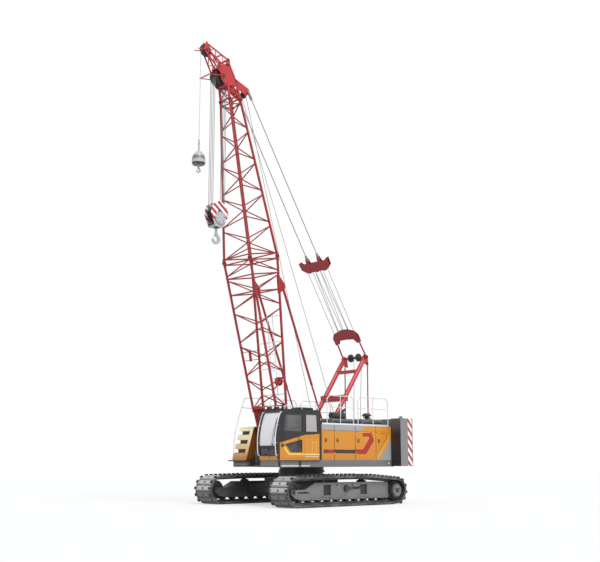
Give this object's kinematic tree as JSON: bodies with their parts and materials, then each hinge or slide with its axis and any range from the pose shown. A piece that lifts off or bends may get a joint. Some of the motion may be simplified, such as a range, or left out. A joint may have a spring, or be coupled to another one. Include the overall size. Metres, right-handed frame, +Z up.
{
  "type": "crawler crane",
  "caption": "Crawler crane on wide extended tracks, with a raised lattice boom, luffing tackle on a gantry, hook block, ball hook, side cab and rear counterweight.",
  "frame": {"origin": "on the ground, under the middle of the crane's length and width; the slewing axis stands 0.398 m behind it", "axes": "+X forward, +Y to the left (the cab's side), +Z up"},
  "size_m": [9.1153, 4.8, 15.8002],
  "materials": {
    "boom_red": "satin boom paint",
    "house_amber": "gloss house paint",
    "frame_grey": "satin dark frame paint",
    "tail_grey": "painted ballast slabs",
    "undercarriage_black": "satin undercarriage paint",
    "track_steel": "worn cast track steel",
    "tank_yellow": "step box paint",
    "cab_grey": "cab paint",
    "rail_white": "white rail paint",
    "cab_glazing": "tinted glazing",
    "seat_fabric": "dark seat fabric",
    "trim_plastic": "dark cab trim",
    "rope_steel": "wire rope",
    "sheave_black": "sheave iron",
    "hook_grey": "grey hook gear paint"
  },
  "bodies": {
    "undercarriage": {"car_body": "undercarriage_black", "slewing_ring": "undercarriage_black", "track_frame_left": "undercarriage_black", "track_left": "track_steel", "idler_left": "track_steel", "sprocket_left": "track_steel", "rollers_left": "track_steel", "track_frame_right": "undercarriage_black", "track_right": "track_steel", "idler_right": "track_steel", "sprocket_right": "track_steel", "rollers_right": "track_steel"},
    "upper": {"deck": "frame_grey", "cab_shell": "cab_grey", "cab_glass": "cab_glazing", "seat": "seat_fabric", "controls": "trim_plastic", "house_left": "house_amber", "house_right": "house_amber", "engine": "frame_grey", "side_tank": "tank_yellow", "tail_slab_1": "tail_grey", "tail_slab_2": "tail_grey", "tail_slab_3": "tail_grey", "gantry": "boom_red", "gantry_links": "rope_steel", "roof_machinery": "cab_grey", "guard_rails": "rail_white"},
    "main_drum": {"main_winch": "sheave_black"},
    "auxiliary_drum": {"auxiliary_winch": "sheave_black"},
    "luffing_drum": {"luffing_winch": "sheave_black"},
    "gantry_sheaves": {"guide_sheaves": "sheave_black"},
    "door": {"cab_door": "house_amber", "door_glass": "cab_glazing"},
    "side_panel_left_1": {"panel_left_1": "house_amber"},
    "side_panel_left_2": {"panel_left_2": "house_amber"},
    "side_panel_left_3": {"panel_left_3": "house_amber"},
    "side_panel_left_4": {"panel_left_4": "house_amber"},
    "side_panel_right_1": {"panel_right_1": "house_amber"},
    "side_panel_right_2": {"panel_right_2": "house_amber"},
    "boom": {"boom_base": "boom_red", "boom_top": "boom_red", "boom_head": "boom_red", "sheave_guards": "boom_red"},
    "backstop_pair": {"backstops": "boom_red"},
    "bridle": {"lower_spreader": "boom_red", "lower_sheaves": "sheave_black", "luffing_falls": "rope_steel"},
    "pendant_set": {"upper_spreader": "boom_red", "upper_sheaves": "sheave_black", "pendants": "rope_steel"},
    "main_block": {"main_falls": "rope_steel", "hook_block": "hook_grey"},
    "main_block_sheaves": {"block_sheaves": "sheave_black"},
    "main_hook": {"main_hook": "hook_grey"},
    "auxiliary_ball": {"ball_weight": "hook_grey"},
    "auxiliary_hook": {"ball_hook": "hook_grey"},
    "boom_head_sheaves": {"head_sheaves": "sheave_black"},
    "boom_tip_sheave": {"tip_sheave": "sheave_black"}
  },
  "joints": [
    {"name": "slew", "type": "hinge", "parent": "undercarriage", "child": "upper", "pos_m": [-0.39779, 0, 1.27], "axis": [0, 0, 1], "continuous": true},
    {"name": "boom_luff", "type": "hinge", "parent": "upper", "child": "boom", "pos_m": [0.85321, 0, 1.91], "axis": [0, 1, 0], "range_deg": [0, 50]},
    {"name": "main_winch_spin", "type": "hinge", "parent": "upper", "child": "main_drum", "pos_m": [-0.79779, 0, 2.06], "axis": [0, 1, 0], "continuous": true},
    {"name": "auxiliary_winch_spin", "type": "hinge", "parent": "upper", "child": "auxiliary_drum", "pos_m": [-2.26779, 0, 2.06], "axis": [0, 1, 0], "continuous": true},
    {"name": "luffing_winch_spin", "type": "hinge", "parent": "upper", "child": "luffing_drum", "pos_m": [-3.01779, 0, 1.96], "axis": [0, 1, 0], "continuous": true},
    {"name": "gantry_sheave_spin", "type": "hinge", "parent": "upper", "child": "gantry_sheaves", "pos_m": [-3.13479, 0, 5.295], "axis": [0, 1, 0], "continuous": true},
    {"name": "cab_door_hinge", "type": "hinge", "parent": "upper", "child": "door", "pos_m": [1.93221, 1.62, 2.3], "axis": [0, 0, -1], "range_deg": [0, 85]},
    {"name": "panel_left_1_hinge", "type": "hinge", "parent": "upper", "child": "side_panel_left_1", "pos_m": [-0.50779, 1.538, 2], "axis": [0, 0, 1], "range_deg": [0, 90]},
    {"name": "panel_left_2_hinge", "type": "hinge", "parent": "upper", "child": "side_panel_left_2", "pos_m": [-1.53779, 1.538, 2], "axis": [0, 0, 1], "range_deg": [0, 90]},
    {"name": "panel_left_3_hinge", "type": "hinge", "parent": "upper", "child": "side_panel_left_3", "pos_m": [-2.58779, 1.538, 2], "axis": [0, 0, 1], "range_deg": [0, 90]},
    {"name": "panel_left_4_hinge", "type": "hinge", "parent": "upper", "child": "side_panel_left_4", "pos_m": [-3.32279, 1.538, 2], "axis": [0, 0, 1], "range_deg": [0, 90]},
    {"name": "panel_right_1_hinge", "type": "hinge", "parent": "upper", "child": "side_panel_right_1", "pos_m": [-0.50779, -1.538, 2], "axis": [0, 0, -1], "range_deg": [0, 90]},
    {"name": "panel_right_2_hinge", "type": "hinge", "parent": "upper", "child": "side_panel_right_2", "pos_m": [-1.53779, -1.538, 2], "axis": [0, 0, -1], "range_deg": [0, 90]},
    {"name": "backstop_swing", "type": "hinge", "parent": "boom", "child": "backstop_pair", "pos_m": [1.09518, 0, 7.42021], "axis": [0, 1, 0], "range_deg": [-10, 0]},
    {"name": "bridle_swing", "type": "hinge", "parent": "upper", "child": "bridle", "pos_m": [-3.13479, 0, 5.295], "axis": [0, 1, 0], "range_deg": [0, 45.3]},
    {"name": "tackle_stretch", "type": "slide", "parent": "bridle", "child": "pendant_set", "axis": [0.5251, 0, 0.8511], "range_m": [0, 4.3]},
    {"name": "main_falls_swing", "type": "hinge", "parent": "boom", "child": "main_block", "pos_m": [3.53614, 0, 14.63658], "axis": [0, 1, 0], "range_deg": [-50, 0]},
    {"name": "main_block_sheave_spin", "type": "hinge", "parent": "main_block", "child": "main_block_sheaves", "pos_m": [3.53614, 0, 9.73658], "axis": [0, 1, 0], "continuous": true},
    {"name": "main_hook_swivel", "type": "hinge", "parent": "main_block", "child": "main_hook", "pos_m": [3.53614, 0, 9.25658], "axis": [0, 0, 1], "continuous": true},
    {"name": "auxiliary_rope_swing", "type": "hinge", "parent": "boom", "child": "auxiliary_ball", "pos_m": [4.12779, 0, 15.47568], "axis": [0, 1, 0], "range_deg": [-50, 0]},
    {"name": "auxiliary_hook_swivel", "type": "hinge", "parent": "auxiliary_ball", "child": "auxiliary_hook", "pos_m": [4.32779, 0, 11.32568], "axis": [0, 0, 1], "continuous": true},
    {"name": "head_sheave_spin", "type": "hinge", "parent": "boom", "child": "boom_head_sheaves", "pos_m": [3.53614, 0, 14.63658], "axis": [0, 1, 0], "continuous": true},
    {"name": "tip_sheave_spin", "type": "hinge", "parent": "boom", "child": "boom_tip_sheave", "pos_m": [4.12779, 0, 15.47568], "axis": [0, 1, 0], "continuous": true}
  ],
  "couplings": [
    {"joint": "backstop_swing", "follows": "boom_luff", "ratio": -0.2},
    {"joint": "bridle_swing", "follows": "boom_luff", "ratio": 0.90427},
    {"joint": "tackle_stretch", "follows": "boom_luff", "m_per_rad": 4.9213},
    {"joint": "main_falls_swing", "follows": "boom_luff", "ratio": -1},
    {"joint": "auxiliary_rope_swing", "follows": "boom_luff", "ratio": -1}
  ]
}
